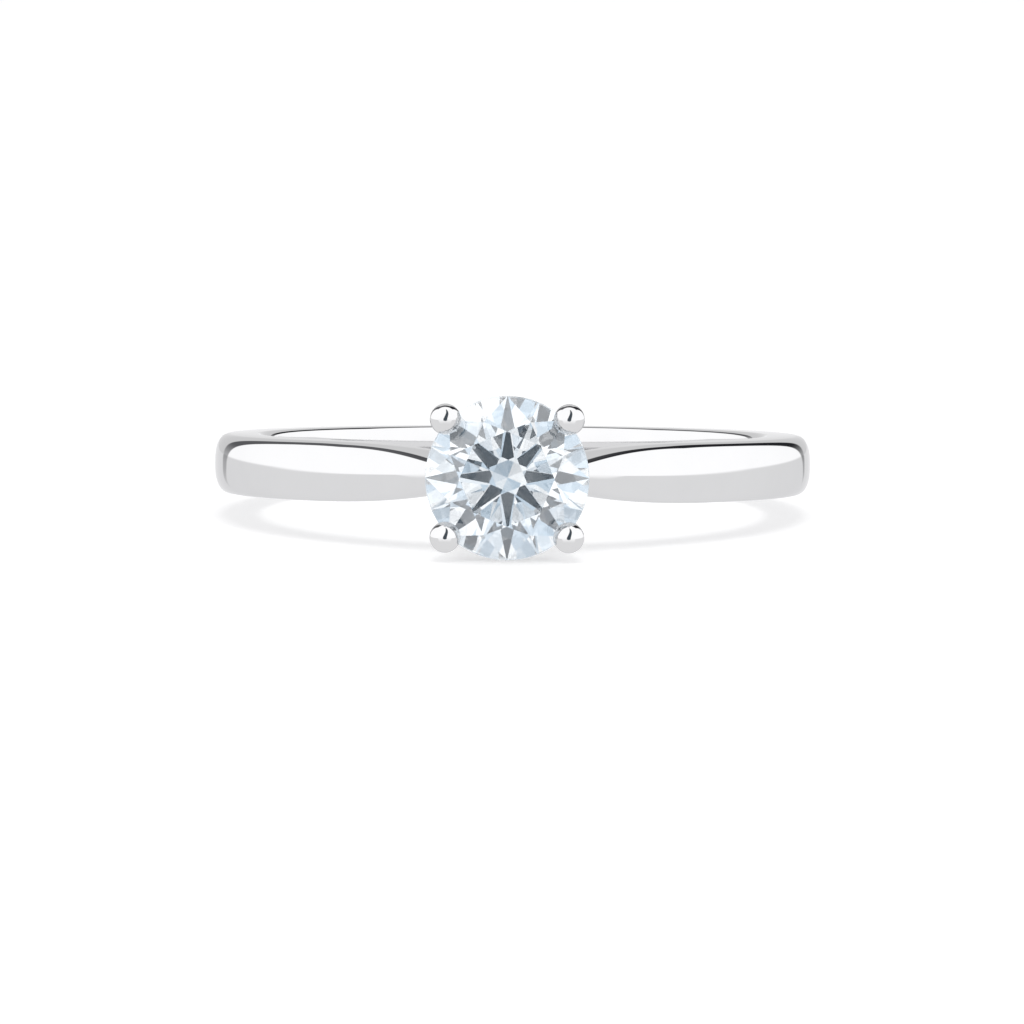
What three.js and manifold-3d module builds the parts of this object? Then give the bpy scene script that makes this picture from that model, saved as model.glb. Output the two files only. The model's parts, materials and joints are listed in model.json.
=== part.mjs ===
// A solitaire engagement ring: a tapered band, a four-claw basket head on a peg, and a round brilliant.
// Millimetres, +Z up. The ring lies on its side as it does on a table: the stone's girdle and the
// back of the band touch Z = 0, and the stone faces -Y. The origin is on the table, under the
// middle of the ring's length and width.
import * as THREE from "three";
import { mergeVertices } from "three/addons/utils/BufferGeometryUtils.js";
import Module from "manifold-3d";

const wasm = await Module();
wasm.setup();

const SOLDER_GAP = 0.02;
const { degToRad } = THREE.MathUtils;

// The band. Angles go round the finger from the head, which is at 0 degrees.
const FINGER_RADIUS = 8.25;
const BAND = {
  thickness: 1.65,
  halfWidth: 0.98,
  crownDepth: 0.52, // how far the flat sides stop short of the outer face
  crownPower: 2.5, // 2 is an ellipse, and more is a flatter face with tighter corners
  innerCorner: 0.2,
  taperFrom: degToRad(46),
  taperTo: degToRad(12),
  narrowing: 0.37,
  rise: 0.35,
  crestDeepening: 1.2,
  crestSoftening: 0.5,
  steps: 96,
  crownSteps: 14,
};

// The head. Heights are from the finger's centre, along the stone's axis.
const HEAD = {
  seatHeight: 9.4,
  baseRail: { inner: 1.0, outer: 1.45, low: 9.4, high: 9.95 },
  galleryRail: { inner: 1.85, outer: 2.28, low: 11.05, high: 11.55 },
  girdleHeight: 12.3,
};
const CLAW = {
  fromLevel: degToRad(43.7), // each claw's place round the stone, from the band's own direction
  footHeight: 9.2,
  tipHeight: 12.62,
  footReach: 1.5,
  tipReach: 2.71,
  footRadius: 0.4,
  tipRadius: 0.495,
  footRounding: 0.12,
};
const PEG = { discRadius: 0.97, discThickness: 0.3, pinRadius: 0.45, end: 8.32 };

// The stone, in the proportions that a gem laboratory states: shares of its diameter, and degrees.
const STONE = {
  diameter: 5.2,
  table: 0.58,
  crownAngle: degToRad(33.5),
  starLength: 0.45,
  pavilionAngle: degToRad(40.65),
  lowerHalfLength: 0.76,
  girdle: 0.03,
  folds: 8,
  girdleSides: 64,
};

const platinum = new THREE.MeshStandardMaterial({ color: 0xe4e4e6, metalness: 1, roughness: 0.06 });
const diamond = new THREE.MeshStandardMaterial({
  color: 0xf4f9ff,
  metalness: 0,
  roughness: 0,
  transparent: true,
  opacity: 0.35,
});

// ---- Solids ----

function solidOf(geometry) {
  const bare = geometry.index ? geometry.toNonIndexed() : geometry.clone();
  bare.deleteAttribute("normal");
  bare.deleteAttribute("uv");
  const merged = mergeVertices(bare, 1e-4);
  const vertProperties = merged.attributes.position.array;
  const triVerts = new Uint32Array(merged.index.array);
  return new wasm.Manifold(new wasm.Mesh({ numProp: 3, vertProperties, triVerts }));
}

function geometryOf(solid) {
  const { vertProperties, triVerts } = solid.getMesh();
  const geometry = new THREE.BufferGeometry();
  geometry.setAttribute("position", new THREE.BufferAttribute(new Float32Array(vertProperties), 3));
  geometry.setIndex(new THREE.BufferAttribute(new Uint32Array(triVerts), 1));
  return geometry;
}

function named(name, geometry, material) {
  const mesh = new THREE.Mesh(geometry, material);
  mesh.name = name;
  return mesh;
}

/** A solid of revolution about +Z from a profile of (radius, height) points. */
function turned(profile, sides) {
  return new THREE.LatheGeometry(profile, sides).rotateX(Math.PI / 2);
}

function cylinderAlongZ(radius, low, high, sides) {
  const height = high - low;
  return new THREE.CylinderGeometry(radius, radius, height, sides)
    .rotateX(Math.PI / 2)
    .translate(0, 0, low + height / 2);
}

// ---- The band ----

/** How far the taper has gone at an angle from the head: 0 on the plain hoop, 1 beside the head. */
function taperAt(angle) {
  const fromHead = Math.min(angle, 2 * Math.PI - angle);
  const share = (BAND.taperFrom - fromHead) / (BAND.taperFrom - BAND.taperTo);
  return THREE.MathUtils.clamp(share, 0, 1);
}

/** The band's section at an angle, as (radius, height) points: a domed outer face on a flat-sided body. */
function bandSection(angle) {
  const taper = taperAt(angle);
  const halfWidth = BAND.halfWidth - BAND.narrowing * taper ** 3;
  const outer = FINGER_RADIUS + BAND.thickness + BAND.rise * taper ** 2;
  const depth = BAND.crownDepth + BAND.crestDeepening * taper ** 3;
  const power = 2 / (BAND.crownPower - BAND.crestSoftening * taper);
  const corner = BAND.innerCorner;

  const inside = new THREE.Path();
  inside.absarc(FINGER_RADIUS + corner, -halfWidth + corner, corner, -Math.PI / 2, -Math.PI, true);
  inside.absarc(FINGER_RADIUS + corner, halfWidth - corner, corner, Math.PI, Math.PI / 2, true);
  const points = inside.getPoints(2);
  for (let i = 0; i <= BAND.crownSteps; i += 1) {
    const turn = (Math.PI * i) / BAND.crownSteps;
    const across = Math.sign(Math.cos(turn)) * Math.abs(Math.cos(turn)) ** power;
    const up = Math.abs(Math.sin(turn)) ** power;
    points.push(new THREE.Vector2(outer - depth + depth * up, halfWidth * across));
  }
  points.push(points[0].clone());
  return points.reverse();
}

/** A plain hoop is turned first, and each of its sections is then drawn in to the taper's. */
function bandBlank() {
  const hoop = new THREE.LatheGeometry(bandSection(Math.PI), BAND.steps);
  const { position } = hoop.attributes;
  for (let step = 0; step <= BAND.steps; step += 1) {
    const angle = ((step % BAND.steps) / BAND.steps) * 2 * Math.PI;
    bandSection(angle).forEach((point, i, { length }) => {
      const x = point.x * Math.sin(angle);
      position.setXYZ(step * length + i, x, point.y, point.x * Math.cos(angle));
    });
  }
  return hoop.rotateX(Math.PI / 2);
}

/** The band, with a level seat for the head and a hole for its peg. */
function makeBand() {
  const { baseRail, seatHeight } = HEAD;
  const seat = cylinderAlongZ(baseRail.outer + SOLDER_GAP, seatHeight - SOLDER_GAP, 12, 48);
  const hole = cylinderAlongZ(PEG.pinRadius + SOLDER_GAP, FINGER_RADIUS - 1, 12, 24);
  const facingStone = Math.PI / 2;
  const cutters = [seat, hole].map((cutter) => solidOf(cutter.rotateX(facingStone)));
  const solid = cutters.reduce((left, cutter) => left.subtract(cutter), solidOf(bandBlank()));
  return named("band", geometryOf(solid), platinum);
}

// ---- The head's rails and peg ----

/** A rail's section, grown all round by a margin: a rectangle with rounded corners. */
function railSection({ inner, outer, low, high }, margin) {
  const corner = 0.12;
  const [left, right] = [inner - margin, outer + margin];
  const [bottom, top] = [low - margin, high + margin];
  const path = new THREE.Path();
  path.absarc(right - corner, bottom + corner, corner, -Math.PI / 2, 0);
  path.absarc(right - corner, top - corner, corner, 0, Math.PI / 2);
  path.absarc(left + corner, top - corner, corner, Math.PI / 2, Math.PI);
  path.absarc(left + corner, bottom + corner, corner, Math.PI, 1.5 * Math.PI);
  path.closePath();
  return path.getPoints(1);
}

function railShape(rail, margin = 0) {
  return turned(railSection(rail, margin), 40);
}

/** The peg is a rivet: its disc is soldered inside the base rail, and its pin goes through the band. */
function makePeg() {
  const { discRadius, discThickness, pinRadius, end } = PEG;
  const chamfer = 0.06;
  const low = HEAD.seatHeight;
  const outline = [
    [0, end],
    [pinRadius - chamfer, end],
    [pinRadius, end + chamfer],
    [pinRadius, low],
    [discRadius, low],
    [discRadius, low + discThickness - chamfer],
    [discRadius - chamfer, low + discThickness],
    [0, low + discThickness],
  ];
  const profile = outline.map(([radius, height]) => new THREE.Vector2(radius, height));
  return named("head_peg", turned(profile, 32), platinum);
}

// ---- The stone ----

/** The space outside one facet: the facet leans by slope from level, and passes through the point at
 *  that reach from the axis and height, on its own azimuth. */
function outsideFacet(azimuth, slope, reach, height) {
  const size = 4 * STONE.diameter;
  const box = new THREE.BoxGeometry(size, size, size).translate(0, 0, size / 2);
  return box.rotateY(slope).translate(reach, 0, height).rotateZ(azimuth);
}

/** A round brilliant about +Z with its girdle at height 0, cut facet by facet from a cylinder.
 *  Its facets meet in points: only the angles and shares in STONE are free. */
function brilliant() {
  const radius = STONE.diameter / 2;
  const fold = (2 * Math.PI) / STONE.folds;
  const [half, quarter] = [fold / 2, fold / 4];
  const girdle = (STONE.girdle * STONE.diameter) / 2;
  const [crownRise, pavilionRise] = [Math.tan(STONE.crownAngle), Math.tan(STONE.pavilionAngle)];

  const tableCorner = STONE.table * radius;
  const tableEdge = tableCorner * Math.cos(half);
  const tableHeight = girdle + (radius - tableCorner) * crownRise;
  const starReach = tableEdge + STONE.starLength * (radius - tableEdge);
  const starDrop = (starReach * Math.cos(half) - tableCorner) * crownRise;
  const starSlope = Math.atan(starDrop / (starReach - tableEdge));
  const upperRun = (radius - starReach) * Math.cos(quarter);
  const upperSlope = Math.atan(((radius - tableCorner) * crownRise - starDrop) / upperRun);
  const lowerReach = (1 - STONE.lowerHalfLength) * radius;
  const lowerRun = (radius - lowerReach) * Math.cos(quarter);
  const lowerRise = (radius - lowerReach * Math.cos(half)) * pavilionRise;
  const lowerSlope = Math.atan(lowerRise / lowerRun);
  const halfFacetReach = radius * Math.cos(quarter);

  const facets = [outsideFacet(0, 0, 0, tableHeight)];
  for (let i = 0; i < STONE.folds; i += 1) {
    const azimuth = i * fold;
    facets.push(outsideFacet(azimuth, STONE.crownAngle, radius, girdle));
    facets.push(outsideFacet(azimuth + half, starSlope, tableEdge, tableHeight));
    facets.push(outsideFacet(azimuth, Math.PI - STONE.pavilionAngle, radius, -girdle));
    for (const side of [-quarter, quarter]) {
      facets.push(outsideFacet(azimuth + side, upperSlope, halfFacetReach, girdle));
      facets.push(outsideFacet(azimuth + side, Math.PI - lowerSlope, halfFacetReach, -girdle));
    }
  }
  const rough = solidOf(cylinderAlongZ(radius, -STONE.diameter, STONE.diameter, STONE.girdleSides));
  return geometryOf(facets.reduce((left, facet) => left.subtract(solidOf(facet)), rough));
}

// ---- The claws ----

/** How far the claw's middle is from the stone's axis at a height: it leans out, then stands up. */
function clawReach(height) {
  const share = (height - CLAW.footHeight) / (CLAW.tipHeight - CLAW.footHeight);
  const lean = Math.sin((Math.PI / 2) * THREE.MathUtils.clamp(share, 0, 1));
  return THREE.MathUtils.lerp(CLAW.footReach, CLAW.tipReach, lean);
}

/** A round wire with a ball tip, leaning out along +X. */
function clawWire() {
  const { footHeight, tipHeight, footRadius, tipRadius, footRounding } = CLAW;
  const profile = new THREE.Path();
  profile.moveTo(0, footHeight);
  profile.lineTo(footRadius - footRounding, footHeight);
  profile.quadraticCurveTo(footRadius, footHeight, footRadius, footHeight + footRounding);
  const outline = profile.getPoints(3);
  const shaftSteps = 7;
  for (let i = 1; i <= shaftSteps; i += 1) {
    const share = i / (shaftSteps + 1);
    const radius = THREE.MathUtils.lerp(footRadius, tipRadius, share);
    const height = THREE.MathUtils.lerp(footHeight + footRounding, tipHeight, share);
    outline.push(new THREE.Vector2(radius, height));
  }
  const ball = new THREE.Path().absarc(0, tipHeight, tipRadius, 0, Math.PI / 2);
  outline.push(...ball.getPoints(3));
  outline.at(-1).x = 0;

  const wire = turned(outline, 18);
  const { position } = wire.attributes;
  for (let i = 0; i < position.count; i += 1) {
    position.setX(i, position.getX(i) + clawReach(position.getZ(i)));
  }
  return wire;
}

/** The four claws, each notched where it holds the girdle and where it is let into the rails. */
function makeClaws(stone) {
  const grown = 1 + SOLDER_GAP / (STONE.diameter / 2);
  const seat = stone.clone().scale(grown, grown, grown).translate(0, 0, HEAD.girdleHeight);
  const rails = [HEAD.baseRail, HEAD.galleryRail].map((rail) => railShape(rail, SOLDER_GAP));
  const cutters = [seat, ...rails].map(solidOf);
  const azimuths = {
    claw_upper_right: CLAW.fromLevel,
    claw_upper_left: Math.PI - CLAW.fromLevel,
    claw_lower_left: Math.PI + CLAW.fromLevel,
    claw_lower_right: -CLAW.fromLevel,
  };
  return Object.entries(azimuths).map(([name, azimuth]) => {
    const wire = solidOf(clawWire().rotateZ(azimuth));
    const solid = cutters.reduce((left, cutter) => left.subtract(cutter), wire);
    return named(name, geometryOf(solid), platinum);
  });
}

// ---- The ring ----

/** The head is built about +Z and laid over, so that the stone faces -Y. */
function makeHead() {
  const head = new THREE.Group();
  head.rotation.x = Math.PI / 2;
  const stone = brilliant();
  const gem = named("diamond", stone, diamond);
  gem.position.z = HEAD.girdleHeight;
  head.add(gem, makePeg(), ...makeClaws(stone));
  head.add(named("base_rail", railShape(HEAD.baseRail), platinum));
  head.add(named("gallery_rail", railShape(HEAD.galleryRail), platinum));
  return head;
}

/** The angle at which the girdle's lowest point and the back of the band stand on one level surface. */
function restTilt() {
  const outer = FINGER_RADIUS + BAND.thickness;
  const girdle = (STONE.girdle * STONE.diameter) / 2;
  const front = { reach: HEAD.girdleHeight - girdle, drop: STONE.diameter / 2 };
  const back = { reach: outer - BAND.crownDepth, drop: BAND.halfWidth };
  return Math.atan2(front.drop - back.drop, front.reach + back.reach);
}

const ring = new THREE.Group();
const hoop = new THREE.Group();
hoop.add(makeBand(), makeHead());
hoop.rotation.x = -restTilt();
ring.add(hoop);
const extent = new THREE.Box3().setFromObject(ring, true);
hoop.position.y = -(extent.min.y + extent.max.y) / 2;
hoop.position.z = -extent.min.z;

export default ring;
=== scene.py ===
"""A platinum solitaire ring on a pale floor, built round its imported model.

The band, the head's rails, rivet and claws, and the stone are each modelled here, in metres, in the
ring's own directions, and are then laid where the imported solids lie.
"""

import json
import logging
import math
from collections.abc import Callable, Iterable
from dataclasses import dataclass, field
from enum import Enum

import bmesh
import bpy
from mathutils import Matrix, Vector

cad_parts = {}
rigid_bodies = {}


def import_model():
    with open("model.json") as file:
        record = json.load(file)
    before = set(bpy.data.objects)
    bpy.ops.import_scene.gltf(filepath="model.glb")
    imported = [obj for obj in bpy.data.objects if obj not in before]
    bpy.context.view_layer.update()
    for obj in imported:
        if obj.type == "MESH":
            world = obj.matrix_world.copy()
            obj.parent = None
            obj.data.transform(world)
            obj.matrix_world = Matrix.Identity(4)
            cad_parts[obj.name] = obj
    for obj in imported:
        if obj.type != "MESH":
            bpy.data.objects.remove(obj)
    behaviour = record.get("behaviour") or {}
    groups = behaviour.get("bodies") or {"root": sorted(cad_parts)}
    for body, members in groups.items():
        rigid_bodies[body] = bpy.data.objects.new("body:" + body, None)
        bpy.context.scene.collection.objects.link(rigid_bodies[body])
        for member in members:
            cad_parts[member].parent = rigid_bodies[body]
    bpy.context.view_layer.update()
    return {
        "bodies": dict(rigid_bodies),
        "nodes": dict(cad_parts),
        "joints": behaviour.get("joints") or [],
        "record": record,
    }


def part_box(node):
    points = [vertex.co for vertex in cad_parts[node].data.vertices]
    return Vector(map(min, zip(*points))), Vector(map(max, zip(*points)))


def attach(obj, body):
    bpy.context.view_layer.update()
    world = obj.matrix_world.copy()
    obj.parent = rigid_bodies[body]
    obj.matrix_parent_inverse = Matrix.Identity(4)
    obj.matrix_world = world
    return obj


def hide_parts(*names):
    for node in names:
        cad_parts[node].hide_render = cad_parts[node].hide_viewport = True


LOG = logging.getLogger("solitaire")
MM = 0.001
ROOT = "root"

Pair = tuple[float, float]
Grey = tuple[float, float, float, float]
Piece = bpy.types.Object
Socket = bpy.types.NodeSocket


# ---- Where the ring lies ----


@dataclass(frozen=True)
class Lie:
    """How the ring lies: the middle of its finger hole, and its three directions.

    The ring's own axes are across (towards +X), back (away from the stone) and finger (along the
    finger's axis). The head's own axes are across, finger and forward, with the stone's face up.
    """

    centre: Vector
    across: Vector
    back: Vector
    finger: Vector

    @classmethod
    def from_frame(cls, frame: dict) -> "Lie":
        """Reads the lie from the band's solid and its flat side faces.


        Returns:
            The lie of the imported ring.
        """
        mounts = {mount["name"]: mount for mount in frame["record"]["mounts"]}
        upper, lower = mounts["upper_side_face"], mounts["lower_side_face"]
        finger = Vector(upper["axis"]).normalized()
        across = Vector((1.0, 0.0, 0.0))
        back = finger.cross(across)
        low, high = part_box("band")
        outer_radius = (high.x - low.x) / 2
        reach = max(vertex.co.dot(back) for vertex in frame["nodes"]["band"].data.vertices)
        middle = (Vector(upper["pos_m"]) + Vector(lower["pos_m"])) / 2
        centre = finger * middle.dot(finger) + back * (reach - outer_radius)
        return cls(centre, across, back, finger)

    def ring_matrix(self) -> Matrix:
        """Turns the ring's own coordinates into the frame's."""
        turn = Matrix((self.across, self.back, self.finger)).transposed()
        return Matrix.Translation(self.centre) @ turn.to_4x4()

    def head_matrix(self) -> Matrix:
        """Turns the head's own coordinates, with the stone's face up, into the frame's."""
        return self.ring_matrix() @ Matrix.Rotation(math.radians(90), 4, "X")


@dataclass(frozen=True)
class Turned:
    """The reach of a turned solid from its axis, and its two ends along it, in metres."""

    inner: float
    outer: float
    low: float
    high: float

    @classmethod
    def from_node(cls, node: Piece, own: Matrix) -> "Turned":
        """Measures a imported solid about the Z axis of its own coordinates.

        Args:
            node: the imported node.
            own: what turns its own coordinates into the frame's.

        Returns:
            The least and greatest reach and height of its corners.
        """
        back = own.inverted()
        corners = [back @ vertex.co for vertex in node.data.vertices]
        reaches = [corner.xy.length for corner in corners]
        heights = [corner.z for corner in corners]
        return cls(min(reaches), max(reaches), min(heights), max(heights))


# ---- Work at the bench ----


def only(piece: Piece) -> None:
    """Selects one object, makes it the active one and deselects all others.

    Args:
        piece: the object to work on.
    """
    bpy.ops.object.select_all(action="DESELECT")
    piece.select_set(True)
    bpy.context.view_layer.objects.active = piece


def start(name: str) -> Piece:
    """Names the primitive that was just added.

    Args:
        name: what the piece is called.

    Returns:
        The new piece.
    """
    piece = bpy.context.active_object
    piece.name = name
    piece.data.name = name
    return piece


def choose(piece: Piece, kind: str, wanted: Callable[[object], bool]) -> None:
    """Selects the faces or edges of a piece in edit mode that pass a test.

    Args:
        piece: the object in edit mode.
        kind: "FACE" or "EDGE".
        wanted: says whether one of them is chosen.
    """
    bpy.ops.mesh.select_mode(type=kind)
    bpy.ops.mesh.select_all(action="DESELECT")
    mesh = bmesh.from_edit_mesh(piece.data)
    for part in mesh.faces if kind == "FACE" else mesh.edges:
        part.select_set(wanted(part))
    mesh.select_flush_mode()
    bmesh.update_edit_mesh(piece.data)


def face_outwards() -> None:
    """In edit mode, merges doubles and turns every face of the piece outwards."""
    bpy.ops.mesh.select_all(action="SELECT")
    bpy.ops.mesh.remove_doubles(threshold=1e-7)
    bpy.ops.mesh.normals_make_consistent(inside=False)


def apply_modifier(piece: Piece, kind: str, **settings: object) -> None:
    """Adds a modifier to a piece and applies it.

    Args:
        piece: the object to change.
        kind: the modifier's type.
        settings: its properties.
    """
    only(piece)
    modifier = piece.modifiers.new(kind.title(), kind)
    for name, value in settings.items():
        setattr(modifier, name, value)
    bpy.ops.object.modifier_apply(modifier=modifier.name)


def cut(piece: Piece, cutter: Piece) -> None:
    """Cuts one solid away from another, and throws the cutter away."""
    apply_modifier(piece, "BOOLEAN", operation="DIFFERENCE", solver="EXACT", object=cutter)
    bpy.data.objects.remove(cutter)


def lay(piece: Piece, own: Matrix) -> None:
    """Moves a piece from its own coordinates to the frame's, with its place in its mesh."""
    only(piece)
    piece.matrix_world = own @ piece.matrix_world
    bpy.ops.object.transform_apply(location=True, rotation=True, scale=True)


def complete(piece: Piece, own: Matrix, look: bpy.types.Material, crease: float = 40.0) -> None:
    """Lays a piece in the frame, shades it smooth and gives it its finish.

    Args:
        piece: a piece that is still in its own coordinates, in place.
        own: what turns its own coordinates into the frame's.
        look: its material.
        crease: the angle in degrees from which an edge stays sharp.
    """
    lay(piece, own)
    bpy.ops.object.shade_smooth_by_angle(angle=math.radians(crease))
    piece.data.materials.append(look)


# ---- Finishes ----


class Bench:
    """Adds nodes to a shader tree and joins them."""

    def __init__(self, tree: bpy.types.NodeTree) -> None:
        """Starts on an emptied tree."""
        self.tree = tree
        tree.nodes.clear()

    def add(self, kind: str, **settings: object) -> bpy.types.Node:
        """Adds a node with some of its properties set.

        Args:
            kind: the node's type.
            settings: its properties.

        Returns:
            The new node.
        """
        node = self.tree.nodes.new(kind)
        for name, value in settings.items():
            setattr(node, name, value)
        return node

    def feed(self, node: bpy.types.Node, name: str | int, value: object) -> None:
        """Sets an input to a plain value, or joins an output socket to it.

        Args:
            node: the node that is fed.
            name: the input's name or number.
            value: a plain value or an output socket.
        """
        if isinstance(value, Socket):
            self.tree.links.new(value, node.inputs[name])
        else:
            node.inputs[name].default_value = value

    def end(self, kind: str, shader: bpy.types.Node) -> None:
        """Joins the finished shader to an output node of the tree's kind."""
        self.feed(self.add(kind), "Surface", shader.outputs[0])

    def sum(self, operation: str, *terms: object) -> Socket:
        """One step of arithmetic.

        Args:
            operation: what is done with the terms.
            terms: numbers or sockets.

        Returns:
            The result.
        """
        node = self.add("ShaderNodeMath", operation=operation)
        for index, term in enumerate(terms):
            self.feed(node, index, term)
        return node.outputs[0]

    def vector_sum(self, operation: str, *terms: object) -> bpy.types.NodeOutputs:
        """One step of vector arithmetic.

        Args:
            operation: what is done with the terms.
            terms: vectors or sockets.

        Returns:
            The results, as "Vector" and "Value".
        """
        node = self.add("ShaderNodeVectorMath", operation=operation)
        for index, term in enumerate(terms):
            self.feed(node, index, term)
        return node.outputs

    def fade(self, value: object, span: Pair, to: Pair) -> Socket:
        """Takes a value smoothly from one number to another as it crosses a span.

        Args:
            value: the number or socket that crosses the span.
            span: where the change starts and ends.
            to: what is given at the start and at the end.

        Returns:
            The changed value.
        """
        node = self.add("ShaderNodeMapRange", interpolation_type="SMOOTHSTEP")
        for name, number in zip(("From Min", "From Max", "To Min", "To Max"), (*span, *to)):
            self.feed(node, name, number)
        self.feed(node, "Value", value)
        return node.outputs[0]

    def blend(self, share: object, first: object, second: object) -> Socket:
        """Mixes two colours.

        Args:
            share: how much of the second, from 0 to 1.
            first: the first colour.
            second: the second colour.

        Returns:
            The mixed colour.
        """
        node = self.add("ShaderNodeMix", data_type="RGBA")
        self.feed(node, 0, share)
        self.feed(node, 6, first)
        self.feed(node, 7, second)
        return node.outputs[2]

    def noise(self, place: object, scale: float, detail: float) -> Socket:
        """Noise, as a number from 0 to 1.

        Args:
            place: where it is read.
            scale: how fine it is.
            detail: how many finer layers it has.

        Returns:
            The noise.
        """
        node = self.add("ShaderNodeTexNoise")
        self.feed(node, "Vector", place)
        self.feed(node, "Scale", scale)
        self.feed(node, "Detail", detail)
        return node.outputs["Fac"]


@dataclass(frozen=True)
class Polish:
    """A bright platinum polish: almost a mirror, with the faint haze and hairlines of a buffing wheel."""

    name: str
    bright: Grey = (0.71, 0.71, 0.713, 1.0)
    dull: Grey = (0.68, 0.68, 0.685, 1.0)
    edge_tint: Grey = (0.86, 0.86, 0.865, 1.0)
    haze: Pair = (0.018, 0.05)
    haze_scale: float = 900.0
    haze_span: Pair = (0.35, 0.75)
    haze_detail: float = 3.0
    hairline_scale: Vector = Vector((1500.0, 1500.0, 60000.0))
    hairline_strength: float = 0.004
    hairline_depth: float = 0.001 * MM
    hairline_detail: float = 4.0

    def material(self) -> bpy.types.Material:
        """Builds the finish.

        Returns:
            The finished material.
        """
        material = bpy.data.materials.new(self.name)
        material.use_nodes = True
        bench = Bench(material.node_tree)
        place = bench.add("ShaderNodeTexCoord").outputs["Object"]
        cloud = bench.noise(place, self.haze_scale, self.haze_detail)
        stretched = bench.add("ShaderNodeMapping")
        bench.feed(stretched, "Vector", place)
        bench.feed(stretched, "Scale", self.hairline_scale)
        hairlines = bench.noise(stretched.outputs[0], 1.0, self.hairline_detail)
        bump = bench.add("ShaderNodeBump")
        bench.feed(bump, "Height", hairlines)
        bench.feed(bump, "Strength", self.hairline_strength)
        bench.feed(bump, "Distance", self.hairline_depth)
        metal = bench.add("ShaderNodeBsdfPrincipled")
        bench.feed(metal, "Base Color", bench.blend(cloud, self.bright, self.dull))
        bench.feed(metal, "Metallic", 1.0)
        bench.feed(metal, "Specular Tint", self.edge_tint)
        bench.feed(metal, "Roughness", bench.fade(cloud, self.haze_span, self.haze))
        bench.feed(metal, "Normal", bump.outputs[0])
        bench.end("ShaderNodeOutputMaterial", metal)
        return material


@dataclass(frozen=True)
class Brilliance:
    """Diamond: clear facets, and a girdle that is left with a fine frost.

    The girdle is a least reach from the stone's middle, and a greatest height either side of it.
    """

    name: str
    axis: Vector
    centre: Vector
    girdle: Pair
    body: Grey = (0.855, 0.885, 0.905, 1.0)
    index: float = 2.417
    frost: float = 0.22
    grain_scale: float = 40000.0
    grain_detail: float = 2.0
    grain_span: Pair = (0.3, 0.7)
    grain: Pair = (0.7, 1.0)

    def material(self) -> bpy.types.Material:
        """Builds the finish, frosted where both the reach and the height are the girdle's.

        Returns:
            The finished material.
        """
        material = bpy.data.materials.new(self.name)
        material.use_nodes = True
        bench = Bench(material.node_tree)
        place = bench.add("ShaderNodeTexCoord").outputs["Object"]
        offset = bench.vector_sum("SUBTRACT", place, self.centre)["Vector"]
        height = bench.vector_sum("DOT_PRODUCT", offset, self.axis)["Value"]
        reach = bench.sum("SQRT", bench.vector_sum("DOT_PRODUCT", offset, offset)["Value"])
        rim = bench.sum("GREATER_THAN", reach, self.girdle[0])
        level = bench.sum("LESS_THAN", bench.sum("ABSOLUTE", height), self.girdle[1])
        noise = bench.noise(place, self.grain_scale, self.grain_detail)
        grain = bench.fade(noise, self.grain_span, self.grain)
        frosted = bench.sum("MULTIPLY", bench.sum("MULTIPLY", rim, level), grain)
        stone = bench.add("ShaderNodeBsdfPrincipled")
        bench.feed(stone, "Base Color", self.body)
        bench.feed(stone, "Transmission Weight", 1.0)
        bench.feed(stone, "IOR", self.index)
        bench.feed(stone, "Roughness", bench.sum("MULTIPLY", frosted, self.frost))
        bench.end("ShaderNodeOutputMaterial", stone)
        return material


# ---- The band ----


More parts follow.
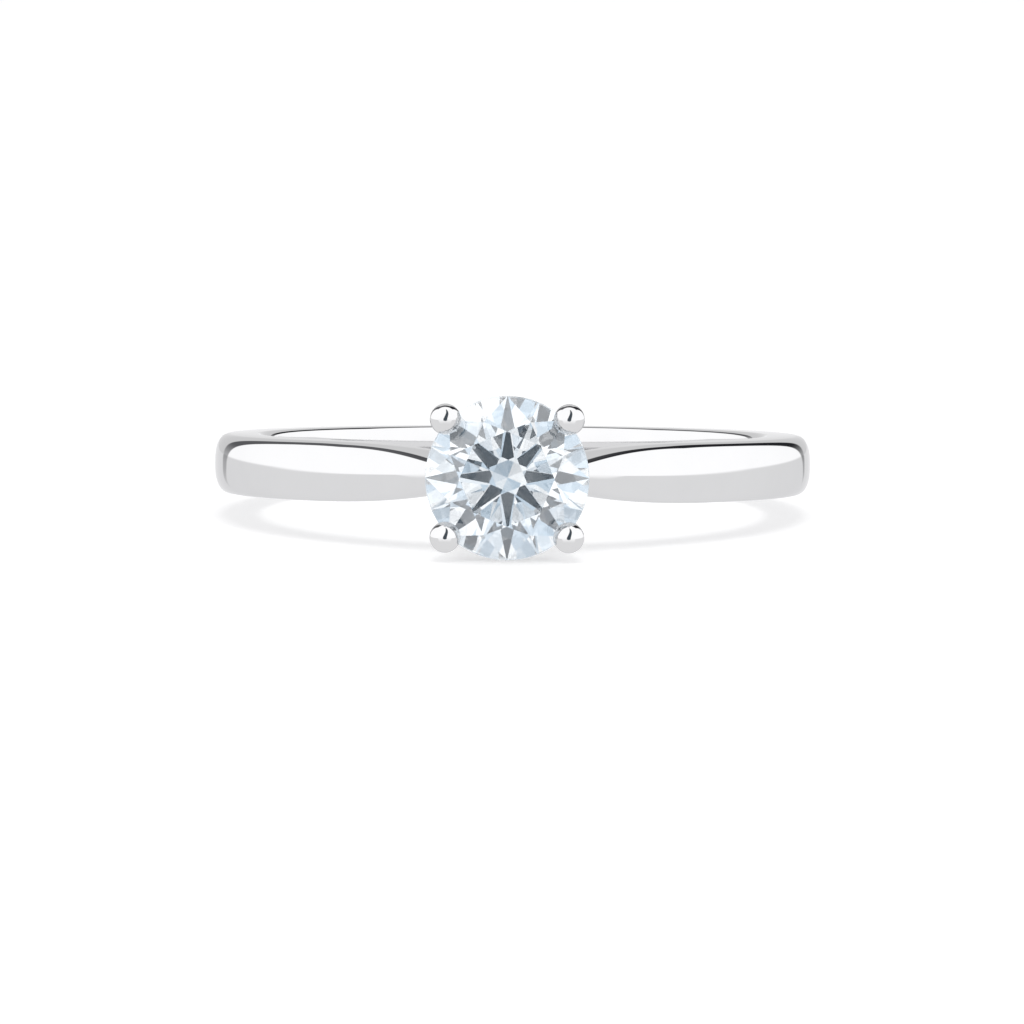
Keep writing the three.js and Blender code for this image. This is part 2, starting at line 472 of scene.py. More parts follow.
@dataclass
class CourtBand:
    """The band: flat-sided, domed outside and a very little inside.

    Beside the head it is drawn in and raised, and its crest stands deeper over the sides. Its taper
    runs between two angles from the head, from 0 on the plain hoop to 1 at the head.
    """

    lie: Lie
    outer_radius: float
    half_width: float
    metal: bpy.types.Material
    thickness: float = 1.65 * MM
    crown_depth: float = 0.52 * MM
    crown_power: float = 2.5
    inner_corner: float = 0.2 * MM
    corner_edge: float = 0.02 * MM
    inner_dome: float = 13 * MM
    inner_steps: int = 16
    taper_from: float = math.radians(46)
    taper_to: float = math.radians(12)
    narrowing: float = 0.37 * MM
    rise: float = 0.35 * MM
    crest_deepening: float = 1.2 * MM
    crest_softening: float = 0.5
    pin_clearance: float = 0.004 * MM
    drill_sides: int = 96
    crease: float = 30.0
    hair: float = 1e-4 * MM
    corner_steps: int = 6
    crown_steps: int = 56
    steps: int = 384

    def section(self) -> list[Pair]:
        """The plain hoop's section: the inner corners, the dome between them, and the crown.

        Returns:
            Its closed outline, as (reach, height) points.
        """
        inner = self.outer_radius - self.thickness
        corner = self.inner_corner
        flat = self.half_width - corner
        lift = flat**2 / (2 * self.inner_dome)
        middle = [flat * (2 * i / self.inner_steps - 1) for i in range(1, self.inner_steps)]
        rounding = []
        for i in range(self.corner_steps + 1):
            turn = math.radians(90) * i / self.corner_steps
            reach = inner + lift + corner * (1 - math.cos(turn))
            rounding.append((reach, flat + corner * math.sin(turn)))
        rounding.append((inner + lift + corner + self.corner_edge, self.half_width))
        points = [(reach, -height) for reach, height in reversed(rounding)]
        points += [(inner + height**2 / (2 * self.inner_dome), height) for height in middle]
        points += rounding
        for i in range(self.crown_steps + 1):
            turn = math.pi * i / self.crown_steps
            across = math.copysign(abs(math.cos(turn)) ** (2 / self.crown_power), math.cos(turn))
            up = math.sin(turn) ** (2 / self.crown_power) if 0 < i < self.crown_steps else 0.0
            points.append((self.outer_radius - self.crown_depth * (1 - up), self.half_width * across))
        return points

    def taper_at(self, angle: float) -> float:
        """How far the taper has gone at an angle from the head."""
        share = (self.taper_from - abs(angle)) / (self.taper_from - self.taper_to)
        return min(max(share, 0.0), 1.0)

    def drawn_in(self, place: Vector) -> Vector:
        """Where a point of the plain hoop's surface goes when the shoulders are shaped.

        Args:
            place: a point on the plain hoop, in the ring's own coordinates.

        Returns:
            The point on the finished shoulder.
        """
        angle = math.atan2(place.x, -place.y)
        taper = self.taper_at(angle)
        if taper == 0.0:
            return place
        reach = math.hypot(place.x, place.y)
        across = place.z / self.half_width
        rim = self.outer_radius - self.crown_depth
        half_width = self.half_width - self.narrowing * taper**3
        if reach > rim + self.hair:
            up = (reach - rim) / self.crown_depth
            depth = self.crown_depth + self.crest_deepening * taper**3
            sharpness = self.crown_power / (self.crown_power - self.crest_softening * taper)
            across = math.copysign(abs(across) ** sharpness, across)
            reach = self.outer_radius + self.rise * taper**2 - depth * (1 - up**sharpness)
        elif reach > rim - self.hair:
            reach += self.rise * taper**2 - self.crest_deepening * taper**3
        return Vector((math.sin(angle) * reach, -math.cos(angle) * reach, across * half_width))

    def hoop(self) -> Piece:
        """Spins the section round the finger, and draws the shoulders in.

        Returns:
            The band, uncut, in the ring's own coordinates.
        """
        points = self.section()
        bpy.ops.mesh.primitive_circle_add(vertices=len(points), radius=self.outer_radius)
        piece = start("court_band")
        for vertex, (reach, height) in zip(piece.data.vertices, points):
            vertex.co = (0.0, reach, height)
        bpy.ops.object.mode_set(mode="EDIT")
        bpy.ops.mesh.select_all(action="SELECT")
        bpy.ops.mesh.spin(steps=self.steps, angle=2 * math.pi, center=(0, 0, 0), axis=(0, 0, 1))
        face_outwards()
        bpy.ops.object.mode_set(mode="OBJECT")
        for vertex in piece.data.vertices:
            vertex.co = self.drawn_in(vertex.co)
        return piece

    def build(self, seat: Turned, pin: float) -> Piece:
        """Makes the band, with a level seat for the head and a hole for its rivet.

        Args:
            seat: the rail that stands on the seat, in the head's own coordinates.
            pin: the radius of the rivet's pin.

        Returns:
            The finished band, in the frame's coordinates.
        """
        piece = self.hoop()
        forward = Matrix.Rotation(math.radians(90), 4, "X")
        top = 2 * self.outer_radius
        through = self.outer_radius - 2 * self.thickness
        for radius, low in ((seat.outer, seat.low), (pin + self.pin_clearance, through)):
            middle = forward @ Vector((0.0, 0.0, (low + top) / 2))
            bpy.ops.mesh.primitive_cylinder_add(
                vertices=self.drill_sides,
                radius=radius,
                depth=top - low,
                location=middle,
                rotation=(math.radians(90), 0, 0),
            )
            cut(piece, start("drill"))
        complete(piece, self.lie.ring_matrix(), self.metal, self.crease)
        return piece


# ---- The head ----


@dataclass
class Rail:
    """A turned ring of the head, of rounded square wire."""

    name: str
    lie: Lie
    span: Turned
    metal: bpy.types.Material
    corner: float = 0.12 * MM
    corner_steps: int = 5
    steps: int = 128

    def build(self) -> Piece:
        """Spins a rounded square about the stone's axis.

        Returns:
            The finished rail, in the frame's coordinates.
        """
        span = self.span
        bpy.ops.mesh.primitive_plane_add(size=1.0)
        piece = start(self.name)
        for vertex in piece.data.vertices:
            reach = span.outer if vertex.co.x > 0 else span.inner
            height = span.high if vertex.co.y > 0 else span.low
            vertex.co = (reach, 0.0, height)
        bpy.ops.object.mode_set(mode="EDIT")
        bpy.ops.mesh.select_all(action="SELECT")
        bpy.ops.mesh.bevel(offset=self.corner, segments=self.corner_steps, affect="VERTICES")
        bpy.ops.mesh.delete(type="ONLY_FACE")
        bpy.ops.mesh.select_all(action="SELECT")
        bpy.ops.mesh.spin(steps=self.steps, angle=2 * math.pi, center=(0, 0, 0), axis=(0, 0, 1))
        face_outwards()
        bpy.ops.object.mode_set(mode="OBJECT")
        complete(piece, self.lie.head_matrix(), self.metal)
        return piece


@dataclass
class Rivet:
    """The rivet that holds the head: a disc inside the base rail, and a pin through the band."""

    lie: Lie
    span: Turned
    seat: float
    metal: bpy.types.Material
    pin: float = 0.45 * MM
    edge: float = 0.06 * MM
    edge_steps: int = 3
    sides: int = 96
    hair: float = 0.001 * MM
    facing_down: float = -0.9

    def is_rim(self, edge: bmesh.types.BMEdge) -> bool:
        """Says whether an edge lies wholly at the disc's top or the pin's end."""
        heights = [vertex.co.z for vertex in edge.verts]
        ends = (self.span.low, self.span.high)
        return all(any(abs(height - end) < self.hair for end in ends) for height in heights)

    def build(self) -> Piece:
        """Insets the disc's lower face and draws the pin out of it.

        Returns:
            The finished rivet, in the frame's coordinates.
        """
        span = self.span
        depth = span.high - self.seat
        middle = (0, 0, (span.high + self.seat) / 2)
        bpy.ops.mesh.primitive_cylinder_add(
            vertices=self.sides, radius=span.outer, depth=depth, location=middle
        )
        piece = start("head_rivet")
        bpy.ops.object.transform_apply(location=True)
        bpy.ops.object.mode_set(mode="EDIT")
        choose(piece, "FACE", lambda face: face.normal.z < self.facing_down)
        bpy.ops.mesh.inset(thickness=span.outer - self.pin)
        drop = (0, 0, span.low - self.seat)
        bpy.ops.mesh.extrude_region_move(TRANSFORM_OT_translate={"value": drop})
        choose(piece, "EDGE", self.is_rim)
        bpy.ops.mesh.bevel(offset=self.edge, segments=self.edge_steps)
        face_outwards()
        bpy.ops.object.mode_set(mode="OBJECT")
        complete(piece, self.lie.head_matrix(), self.metal)
        return piece


class Corner(Enum):
    """Where each claw stands round the stone, as the signs of its two directions."""

    UPPER_RIGHT = (1, 1)
    UPPER_LEFT = (-1, 1)
    LOWER_LEFT = (-1, -1)
    LOWER_RIGHT = (1, -1)


@dataclass
class Claw:
    """A round wire that leans out from the base rail, stands up at the girdle and ends in a ball."""

    lie: Lie
    metal: bpy.types.Material
    from_level: float = math.radians(43.7)
    foot_height: float = 9.2 * MM
    tip_height: float = 12.62 * MM
    foot_reach: float = 1.5 * MM
    tip_reach: float = 2.71 * MM
    foot_radius: float = 0.4 * MM
    tip_radius: float = 0.495 * MM
    rounding: float = 0.12 * MM
    foot_steps: int = 4
    shaft_steps: int = 28
    ball_steps: int = 14
    last_ring: float = 0.01
    sides: int = 48

    def reach_at(self, height: float) -> float:
        """How far the wire's middle is from the stone's axis at a height."""
        share = (height - self.foot_height) / (self.tip_height - self.foot_height)
        lean = math.sin(math.radians(90) * min(max(share, 0.0), 1.0))
        return self.foot_reach + (self.tip_reach - self.foot_reach) * lean

    def stations(self) -> list[Pair]:
        """The wire's sections from foot to tip: the rounded foot, the shaft and the ball.

        Returns:
            Each section's height and radius.
        """
        found = []
        for i in range(self.foot_steps):
            turn = math.radians(90) * i / self.foot_steps
            height = self.foot_height + self.rounding * (1 - math.cos(turn))
            found.append((height, self.foot_radius - self.rounding * (1 - math.sin(turn))))
        for i in range(self.shaft_steps):
            share = i / self.shaft_steps
            base = self.foot_height + self.rounding
            height = base + (self.tip_height - base) * share
            found.append((height, self.foot_radius + (self.tip_radius - self.foot_radius) * share))
        for i in range(self.ball_steps):
            turn = math.radians(90) * i / self.ball_steps
            height = self.tip_height + self.tip_radius * math.sin(turn)
            found.append((height, self.tip_radius * math.cos(turn)))
        found.append((self.tip_height + self.tip_radius, self.last_ring * self.tip_radius))
        return found

    def wire(self) -> Piece:
        """Draws the wire out of a disc, section by section.

        Returns:
            The wire, leaning along +X in the head's own coordinates.
        """
        stations = self.stations()
        height, radius = stations[0]
        bpy.ops.mesh.primitive_circle_add(
            vertices=self.sides,
            radius=radius,
            fill_type="NGON",
            location=(self.reach_at(height), 0, height),
        )
        piece = start("claw")
        bpy.ops.object.transform_apply(location=True)
        bpy.ops.object.mode_set(mode="EDIT")
        bpy.ops.mesh.select_all(action="SELECT")
        for next_height, next_radius in stations[1:]:
            move = (self.reach_at(next_height) - self.reach_at(height), 0, next_height - height)
            bpy.ops.mesh.extrude_region_move(TRANSFORM_OT_translate={"value": move})
            middle = (self.reach_at(next_height), 0, next_height)
            share = next_radius / radius
            bpy.ops.transform.resize(value=(share, share, 1), center_override=middle)
            height, radius = next_height, next_radius
        bpy.ops.mesh.merge(type="CENTER")
        face_outwards()
        bpy.ops.object.mode_set(mode="OBJECT")
        return piece

    def build(self, corner: Corner, stone: Piece) -> Piece:
        """Makes one claw, notched where it holds the girdle.

        Args:
            corner: where it stands.
            stone: the stone, a little grown, in the head's own coordinates.

        Returns:
            The finished claw, in the frame's coordinates.
        """
        piece = self.wire()
        side, end = corner.value
        turn = math.atan2(end * math.sin(self.from_level), side * math.cos(self.from_level))
        only(piece)
        piece.matrix_world = Matrix.Rotation(turn, 4, "Z")
        bpy.ops.object.transform_apply(rotation=True)
        only(stone)
        bpy.ops.object.duplicate()
        cut(piece, bpy.context.active_object)
        complete(piece, self.lie.head_matrix(), self.metal)
        piece.name = f"{corner.name.lower()}_claw"
        return piece


# ---- The stone ----


@dataclass
class RoundBrilliant:
    """A round brilliant, in the proportions that a gem laboratory states."""

    lie: Lie
    radius: float
    middle: float
    table: float = 0.58
    crown_angle: float = math.radians(33.5)
    star_length: float = 0.45
    pavilion_angle: float = math.radians(40.65)
    lower_half_length: float = 0.76
    girdle: float = 0.03
    frosted_reach: float = 0.985
    frosted_height: float = 1.6
    folds: int = 8
    sides: int = 128
    clearance: float = 0.01 * MM
    crease: float = 4.0

    @property
    def half_girdle(self) -> float:
        """Half the girdle's thickness."""
        return self.girdle * self.radius

    def facets(self) -> Iterable[tuple[float, float, float, float]]:
        """Works out every facet's plane.

        Yields:
            The plane's azimuth and slope from level, and the reach and height of a point on it.
        """
        fold = 2 * math.pi / self.folds
        half, quarter = fold / 2, fold / 4
        crown, pavilion = math.tan(self.crown_angle), math.tan(self.pavilion_angle)
        corner = self.table * self.radius
        edge = corner * math.cos(half)
        top = self.half_girdle + (self.radius - corner) * crown
        star_reach = edge + self.star_length * (self.radius - edge)
        star_drop = (star_reach * math.cos(half) - corner) * crown
        star_slope = math.atan(star_drop / (star_reach - edge))
        upper_run = (self.radius - star_reach) * math.cos(quarter)
        upper_slope = math.atan(((self.radius - corner) * crown - star_drop) / upper_run)
        lower_reach = (1 - self.lower_half_length) * self.radius
        lower_run = (self.radius - lower_reach) * math.cos(quarter)
        lower_rise = (self.radius - lower_reach * math.cos(half)) * pavilion
        lower_slope = math.atan(lower_rise / lower_run)
        reach = self.radius * math.cos(quarter)
        yield (0.0, 0.0, 0.0, top)
        for i in range(self.folds):
            azimuth = i * fold
            yield (azimuth, self.crown_angle, self.radius, self.half_girdle)
            yield (azimuth + half, star_slope, edge, top)
            yield (azimuth, math.pi - self.pavilion_angle, self.radius, -self.half_girdle)
            for side in (-quarter, quarter):
                yield (azimuth + side, upper_slope, reach, self.half_girdle)
                yield (azimuth + side, math.pi - lower_slope, reach, -self.half_girdle)

    def cut_stone(self) -> Piece:
        """Grinds a cylinder facet by facet.

        Returns:
            The stone, in the head's own coordinates.
        """
        bpy.ops.mesh.primitive_cylinder_add(vertices=self.sides, radius=self.radius, depth=4 * self.radius)
        piece = start("brilliant")
        bpy.ops.object.mode_set(mode="EDIT")
        for azimuth, slope, reach, height in self.facets():
            bpy.ops.mesh.select_all(action="SELECT")
            normal = Vector((math.sin(slope), 0.0, math.cos(slope)))
            place = Vector((reach, 0.0, height))
            for vector in (normal, place):
                vector.rotate(Matrix.Rotation(azimuth, 3, "Z"))
            bpy.ops.mesh.bisect(
                plane_co=place, plane_no=normal, use_fill=True, clear_outer=True, threshold=1e-9
            )
        bpy.ops.mesh.select_all(action="SELECT")
        bpy.ops.mesh.normals_make_consistent(inside=False)
        bpy.ops.object.mode_set(mode="OBJECT")
        piece.matrix_world = Matrix.Translation((0, 0, self.middle))
        only(piece)
        bpy.ops.object.transform_apply(location=True)
        return piece

    def grown(self, stone: Piece) -> Piece:
        """Makes a copy of the stone that is a little larger, to cut the claws' notches with.

        Args:
            stone: the stone, in the head's own coordinates.

        Returns:
            The grown copy, in the same place.
        """
        only(stone)
        bpy.ops.object.duplicate()
        cutter = start("notch_cutter")
        bpy.ops.object.mode_set(mode="EDIT")
        bpy.ops.mesh.select_all(action="SELECT")
        share = 1 + self.clearance / self.radius
        bpy.ops.transform.resize(value=(share, share, share), center_override=(0, 0, self.middle))
        bpy.ops.object.mode_set(mode="OBJECT")
        return cutter

    def finish(self, stone: Piece) -> Piece:
        """Lays the stone in the frame, and gives it its finish.

        Args:
            stone: the stone, in the head's own coordinates.

        Returns:
            The finished stone, in the frame's coordinates.
        """
        own = self.lie.head_matrix()
        finish = Brilliance(
            name="diamond",
            axis=-self.lie.back,
            centre=own @ Vector((0, 0, self.middle)),
            girdle=(self.frosted_reach * self.radius, self.frosted_height * self.half_girdle),
        )
        complete(stone, own, finish.material(), self.crease)
        return stone


# ---- The floor, the light and the camera ----


@dataclass(frozen=True)
class Sight:
    """A direction: its parts, its angles above level and round from the front in degrees, and whether a
    stone is looked through. Across is towards +X, away towards +Y, and wide towards either side.
    """

    whole: Socket
    across: Socket
    wide: Socket
    away: Socket
    up: Socket
    height: Socket
    azimuth: Socket
    through: Socket

    @classmethod
    def in_world(cls, bench: Bench) -> "Sight":
        """Adds the nodes that say which way is looked, in a world's tree.

        Args:
            bench: where the nodes are added.

        Returns:
            The direction.
        """
        whole = bench.add("ShaderNodeTexCoord").outputs["Generated"]
        split = bench.add("ShaderNodeSeparateXYZ")
        bench.feed(split, 0, whole)
        across, away, up = split.outputs
        wide = bench.sum("ABSOLUTE", across)
        height = bench.sum("MULTIPLY", bench.sum("ARCSINE", up), math.degrees(1))
        azimuth = bench.sum("ARCTAN2", across, bench.sum("MULTIPLY", away, -1.0))
        azimuth = bench.sum("MULTIPLY", azimuth, math.degrees(1))
        through = bench.add("ShaderNodeLightPath").outputs["Is Transmission Ray"]
        return cls(whole, across, wide, away, up, height, azimuth, through)


@dataclass(frozen=True)
class Slit:
    """The slit between the tent's front curtains, in degrees. It closes upwards and leans a little."""

    width: Pair
    height: Pair
    lean: float
    soft: float = 1.0
    soft_foot: float = 2.0
    soft_head: float = 3.0

    def share(self, bench: Bench, sight: Sight) -> Socket:
        """How far a direction is inside the slit.

        Args:
            bench: where the nodes are added.
            sight: the direction.

        Returns:
            A share from 0 to 1.
        """
        height = sight.height
        width = bench.fade(height, self.height, self.width)
        middle = bench.fade(height, self.height, (0.0, self.lean))
        away = bench.sum("ABSOLUTE", bench.sum("SUBTRACT", sight.azimuth, middle))
        inside = bench.fade(bench.sum("SUBTRACT", width, away), (-self.soft, self.soft), (0.0, 1.0))
        low, high = self.height
        foot = bench.fade(height, (low - self.soft_foot, low + self.soft_foot), (0.0, 1.0))
        head = bench.fade(height, (high - self.soft_head, high + self.soft_head), (1.0, 0.0))
        return bench.sum("MULTIPLY", bench.sum("MULTIPLY", inside, foot), head)


@dataclass(frozen=True)
class LightTent:
    """What the polished metal and the stone see: a white tent, open behind a grey backdrop.

    Its folds and seams only show through the stone, and the metal sees its front slit broader than the
    stone does. Angles are in degrees. The walls and the backdrop's sides are slopes from straight away.
    """

    white: Grey = (1.42, 1.42, 1.43, 1.0)
    table: Grey = (0.99, 0.99, 1.0, 1.0)
    backdrop: Grey = (0.86, 0.86, 0.865, 1.0)
    left_gap: Grey = (0.14, 0.142, 0.15, 1.0)
    right_gap: Grey = (0.025, 0.026, 0.03, 1.0)
    lens: Grey = (0.085, 0.105, 0.125, 1.0)
    fold_tint: Grey = (0.50, 0.60, 0.69, 1.0)
    fold_scale: float = 2.6
    fold_detail: float = 1.5
    fold_span: Pair = (0.42, 0.62)
    fold_reach: Pair = (-0.35, -0.1)
    horizon: Pair = (-2.9, -1.4)
    front: Pair = (43.0, 54.0)
    front_horizon: Pair = (-34.0, 11.0)
    seams: tuple[Pair, ...] = ((-34.0, 1.3), (38.0, 1.6))
    seam_soft: float = 0.4
    lens_towards: Vector = Vector((0.014, -0.996, 0.087))
    lens_radius: float = 14.5
    lens_soft: float = 0.012
    slit: Slit = Slit(width=(8.0, 4.0), height=(8.0, 62.0), lean=12.0)
    metal_slit: Slit = Slit(width=(14.0, 13.0), height=(-6.0, 80.0), lean=28.0)
    gleam: float = 0.05
    gleam_height: Pair = (-22.0, 12.0)
    middle: Pair = (-0.25, 0.25)
    left_wall: Pair = (0.756, 0.475)
    right_wall: Pair = (0.57, 0.545)
    roof_edge: float = 72.0
    backdrop_side: Pair = (0.568, 0.445)
    backdrop_top: float = 53.0

    def past(
        self, bench: Bench, terms: Iterable[tuple[Socket, float]], limit: float = 0.0, soft: float = 0.04
    ) -> Socket:
        """A soft step where a weighted sum passes a limit.

        Args:
            bench: where the nodes are added.
            terms: what is summed, each with its weight.
            limit: the sum at the middle of the step.
            soft: how much the sum changes over the whole step.

        Returns:
            A share from 0, below the limit, to 1.
        """
        total = -limit
        for part, weight in terms:
            total = bench.sum("ADD", total, bench.sum("MULTIPLY", part, weight))
        return bench.fade(total, (-soft / 2, soft / 2), (0.0, 1.0))

    def below(self, bench: Bench, sight: Sight, edge: float) -> Socket:
        """How far a direction is below an edge at the back that stands at an angle above level."""
        angle = math.radians(edge)
        return self.past(bench, ((sight.away, math.sin(angle)), (sight.up, -math.cos(angle))))

    def above_table(self, bench: Bench, sight: Sight) -> Socket:
        """How far a direction is above the table, whose edge is soft in front and sharp elsewhere.

        Args:
            bench: where the nodes are added.
            sight: the direction.

        Returns:
            A share from 0 to 1.
        """
        turned = bench.sum("ABSOLUTE", sight.azimuth)
        ends = zip(self.front_horizon, self.horizon)
        span = tuple(bench.fade(turned, self.front, (near, aside)) for near, aside in ends)
        return bench.fade(sight.height, span, (0.0, 1.0))

    def inside_walls(self, bench: Bench, sight: Sight, on_right: Socket) -> Socket:
        """How far a direction is between the back edges of the tent's walls.

        Args:
            bench: where the nodes are added.
            sight: the direction.
            on_right: how far it is on the right.

        Returns:
            A share from 0 to 1.
        """
        slopes = [bench.fade(on_right, (0.0, 1.0), pair) for pair in zip(self.left_wall, self.right_wall)]
        parts = zip((sight.away, sight.up), slopes)
        back, rise = (bench.sum("MULTIPLY", part, slope) for part, slope in parts)
        return self.past(bench, ((back, 1.0), (rise, 1.0), (sight.wide, -1.0)))

    def cloth(self, bench: Bench, sight: Sight, above: Socket) -> Socket:
        """The light of the table and the cloth, with the folds and seams that show through the stone.

        Args:
            bench: where the nodes are added.
            sight: the direction.
            above: how far it is above the table.

        Returns:
            The light's colour.
        """
        noise = bench.noise(sight.whole, self.fold_scale, self.fold_detail)
        folds = bench.fade(noise, self.fold_span, (0.0, 1.0))
        folds = bench.sum("MULTIPLY", folds, bench.fade(sight.away, self.fold_reach, (1.0, 0.0)))
        folded = bench.add("ShaderNodeMix", data_type="RGBA", blend_type="MULTIPLY")
        bench.feed(folded, 0, bench.sum("MULTIPLY", folds, sight.through))
        bench.feed(folded, 6, bench.blend(above, self.table, self.white))
        bench.feed(folded, 7, self.fold_tint)
        light = folded.outputs[2]
        for place, width in self.seams:
            beside = bench.sum("ABSOLUTE", bench.sum("SUBTRACT", sight.azimuth, place))
            seam = bench.fade(beside, (width - self.seam_soft, width + self.seam_soft), (1.0, 0.0))
            light = bench.blend(bench.sum("MULTIPLY", seam, sight.through), light, self.lens)
        return light

    def dark_front(self, bench: Bench, sight: Sight) -> Socket:
        """How far a direction meets the camera's lens or the slit between the front curtains.

        Args:
            bench: where the nodes are added.
            sight: the direction.

        Returns:
            A share from 0 to 1.
        """
        parts = tuple(zip((sight.across, sight.away, sight.up), self.lens_towards.normalized()))
        lens = self.past(bench, parts, math.cos(math.radians(self.lens_radius)), self.lens_soft)
        slits = tuple(slit.share(bench, sight) for slit in (self.metal_slit, self.slit))
        return bench.sum("MAXIMUM", lens, bench.fade(sight.through, (0.0, 1.0), slits))

    def build(self) -> None:
        """Makes the world that the ring reflects."""
        world = bpy.data.worlds.new("light_tent")
        world.use_nodes = True
        bpy.context.scene.world = world
        bench = Bench(world.node_tree)
        sight = Sight.in_world(bench)
        above = self.above_table(bench, sight)
        on_right = bench.fade(sight.across, self.middle, (0.0, 1.0))
        side = bench.sum("MULTIPLY", sight.away, bench.fade(on_right, (0.0, 1.0), self.backdrop_side))
        within_side = self.past(bench, ((side, 1.0), (sight.wide, -1.0)))
        below_top = self.below(bench, sight, self.backdrop_top)
        screen = bench.sum("MULTIPLY", bench.sum("MULTIPLY", below_top, within_side), above)
        walls = self.inside_walls(bench, sight, on_right)
        gap = bench.sum("MULTIPLY", walls, self.below(bench, sight, self.roof_edge))
        gleam = bench.fade(sight.height, self.gleam_height, (self.gleam, 1.0))
        beside_screen = bench.sum("MAXIMUM", above, bench.sum("SUBTRACT", 1.0, within_side))
        opening = bench.sum("MULTIPLY", bench.sum("MULTIPLY", gap, gleam), beside_screen)
        light = self.cloth(bench, sight, above)
        light = bench.blend(opening, light, bench.blend(on_right, self.left_gap, self.right_gap))
        light = bench.blend(screen, light, self.backdrop)
        light = bench.blend(self.dark_front(bench, sight), light, self.lens)
        background = bench.add("ShaderNodeBackground")
        bench.feed(background, "Color", light)
        bench.end("ShaderNodeOutputWorld", background)
        world.cycles_visibility.diffuse = False


@dataclass(frozen=True)
class Softbox:
    """A square lamp overhead, which lights the floor and isn't mirrored in the ring."""

    name: str
    size: float
    height: float
    radiance: float

    def build(self) -> None:
        """Hangs the lamp over the ring, facing down."""
        data = bpy.data.lights.new(self.name, "AREA")
        data.shape = "SQUARE"
        data.size = self.size
        data.energy = self.radiance * math.pi * self.size**2
        lamp = bpy.data.objects.new(self.name, data)
        bpy.context.scene.collection.objects.link(lamp)
        lamp.location = (0.0, 0.0, self.height)
        lamp.visible_camera = False
        lamp.visible_glossy = False
        lamp.visible_transmission = False


@dataclass(frozen=True)
class Floor:
    """A pale matt floor. The ring mirrors the tent's own table instead, which has no shadow on it."""

    size: float = 4.0
    colour: Grey = (0.86, 0.86, 0.865, 1.0)
    glow: float = 0.53

    def build(self) -> None:
        """Makes the floor at the height that the ring lies on."""
        bpy.ops.mesh.primitive_plane_add(size=self.size)
        floor = start("floor")
        material = bpy.data.materials.new("pale_floor")
        material.use_nodes = True
        bench = Bench(material.node_tree)
        matt = bench.add("ShaderNodeBsdfPrincipled")
        bench.feed(matt, "Base Color", self.colour)
        bench.feed(matt, "Roughness", 1.0)
        bench.feed(matt, "Specular IOR Level", 0.0)
        bench.feed(matt, "Emission Color", self.colour)
        bench.feed(matt, "Emission Strength", self.glow / self.colour[0])
        bench.end("ShaderNodeOutputMaterial", matt)
        floor.data.materials.append(material)
        floor.visible_glossy = False
        floor.visible_transmission = False


@dataclass(frozen=True)
class Viewpoint:
    """Where the camera stands: almost level with the ring, in front of the stone."""

    azimuth: float = math.radians(0.78)
    elevation: float = math.radians(6.82)
    roll: float = math.radians(0.19)
    distance: float = 250 * MM
    lens_mm: float = 265.55
    aim: Vector = Vector((0.01 * MM, 0.0, 0.25 * MM))

    def build(self) -> None:
        """Makes the camera and hands it to the scene."""
        level = math.cos(self.elevation)
        across, away = math.sin(self.azimuth) * level, -math.cos(self.azimuth) * level
        towards = Vector((across, away, math.sin(self.elevation)))
        data = bpy.data.cameras.new("camera")
        data.lens = self.lens_mm
        data.clip_start = 10 * MM
        data.clip_end = 10.0
        camera = bpy.data.objects.new("camera", data)
        bpy.context.scene.collection.objects.link(camera)
        turn = towards.to_track_quat("Z", "Y") @ Matrix.Rotation(self.roll, 3, "Z").to_quaternion()
        place = Matrix.Translation(self.aim + towards * self.distance)
        camera.matrix_world = place @ turn.to_matrix().to_4x4()
        bpy.context.scene.camera = camera


# ---- The ring ----


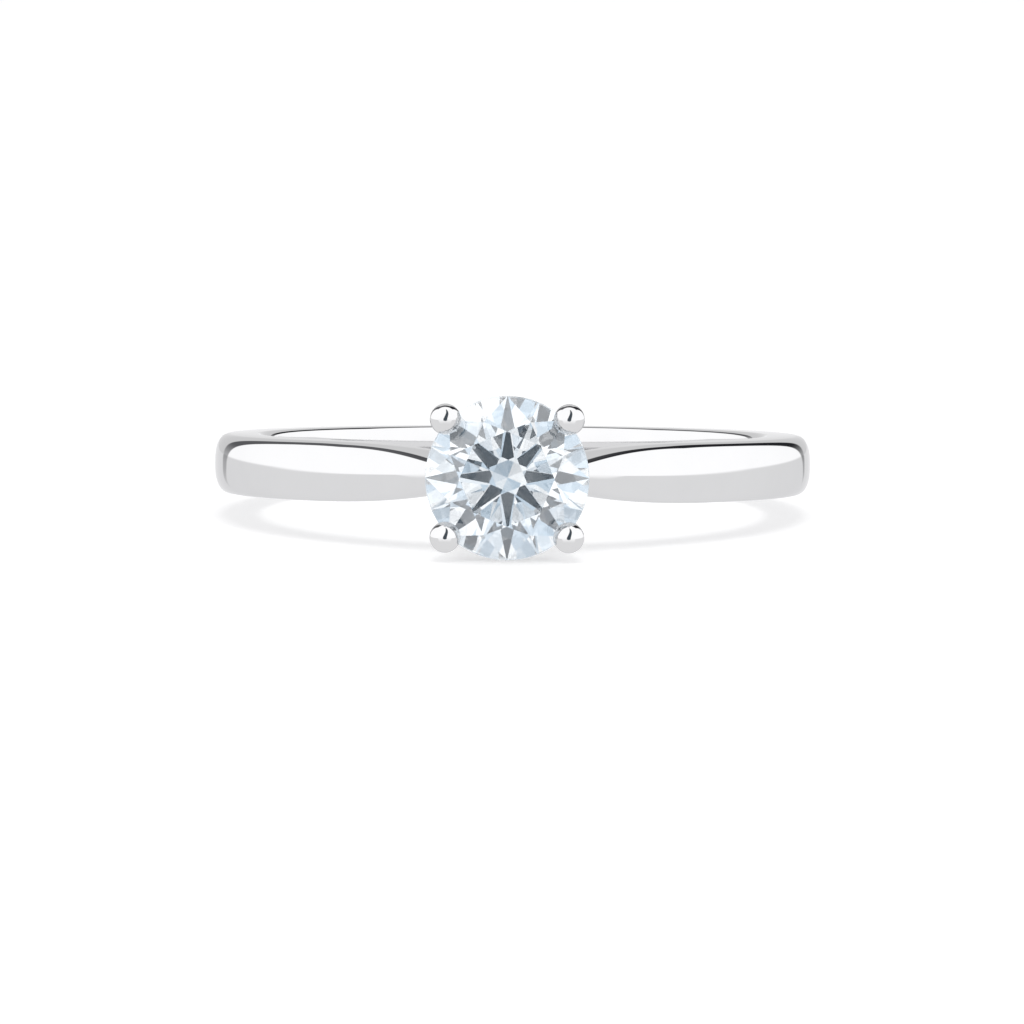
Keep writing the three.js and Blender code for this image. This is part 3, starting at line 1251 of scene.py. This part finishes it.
@dataclass
class Solitaire:
    """The whole ring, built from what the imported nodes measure."""

    frame: dict
    lie: Lie = field(init=False)
    rim_share: float = 0.999

    def __post_init__(self) -> None:
        """Reads how the ring lies."""
        self.lie = Lie.from_frame(self.frame)

    def measured(self, node: str) -> Turned:
        """A head node's reach and ends, about the stone's axis."""
        return Turned.from_node(self.frame["nodes"][node], self.lie.head_matrix())

    def half_width(self) -> float:
        """Half the distance between the band's side faces."""
        places = {mount["name"]: Vector(mount["pos_m"]) for mount in self.frame["record"]["mounts"]}
        return (places["upper_side_face"] - places["lower_side_face"]).dot(self.lie.finger) / 2

    def stone_middle(self) -> float:
        """Measures how far the girdle is from the finger's centre, along the stone's axis.

        Returns:
            The distance, in metres.
        """
        own = self.lie.head_matrix().inverted()
        corners = [own @ vertex.co for vertex in self.frame["nodes"]["diamond"].data.vertices]
        rim = max(corner.xy.length for corner in corners)
        heights = [corner.z for corner in corners if corner.xy.length > self.rim_share * rim]
        return (min(heights) + max(heights)) / 2

    def keep(self, piece: Piece, node: str) -> None:
        """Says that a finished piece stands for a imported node, and reports it.

        Args:
            piece: the finished piece.
            node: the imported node.
        """
        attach(piece, ROOT)
        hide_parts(node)
        LOG.info("%s stands for %s: %d faces", piece.name, node, len(piece.data.polygons))

    def build(self) -> None:
        """Makes every piece, and hands each to its node."""
        low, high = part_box("band")
        band_metal = Polish("lapped_platinum").material()
        wire_metal = Polish("buffed_platinum", haze=(0.035, 0.085)).material()
        base, gallery, rivet = (self.measured(name) for name in ("base_rail", "gallery_rail", "head_peg"))
        stone_span = self.measured("diamond")
        pin = Rivet(self.lie, rivet, base.low, wire_metal)
        band = CourtBand(self.lie, (high.x - low.x) / 2, self.half_width(), band_metal)
        self.keep(band.build(base, pin.pin), "band")
        self.keep(pin.build(), "head_peg")
        rails = (("lower_rail", "base_rail", base), ("upper_rail", "gallery_rail", gallery))
        for name, node, span in rails:
            self.keep(Rail(name, self.lie, span, wire_metal).build(), node)
        brilliant = RoundBrilliant(self.lie, stone_span.outer, self.stone_middle())
        stone = brilliant.cut_stone()
        cutter = brilliant.grown(stone)
        claw = Claw(self.lie, wire_metal)
        for corner in Corner:
            piece = claw.build(corner, cutter)
            self.keep(piece, f"claw_{corner.name.lower()}")
        bpy.data.objects.remove(cutter)
        self.keep(brilliant.finish(stone), "diamond")


def let_light_through(scene: bpy.types.Scene) -> None:
    """Lets light turn inside the stone as often as a brilliant makes it."""
    scene.view_settings.view_transform = "Standard"
    scene.cycles.max_bounces = 32
    scene.cycles.glossy_bounces = 24
    scene.cycles.transmission_bounces = 24


def main() -> None:
    """Builds the ring and its setting."""
    logging.basicConfig(level=logging.INFO, format="%(name)s: %(message)s")
    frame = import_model()
    Viewpoint().build()
    LightTent().build()
    Softbox("roof_softbox", size=0.5, height=0.8, radiance=2.1).build()
    Softbox("wide_softbox", size=4.0, height=1.5, radiance=0.55).build()
    Floor().build()
    Solitaire(frame).build()
    let_light_through(bpy.context.scene)


if __name__ == "__main__":
    main()
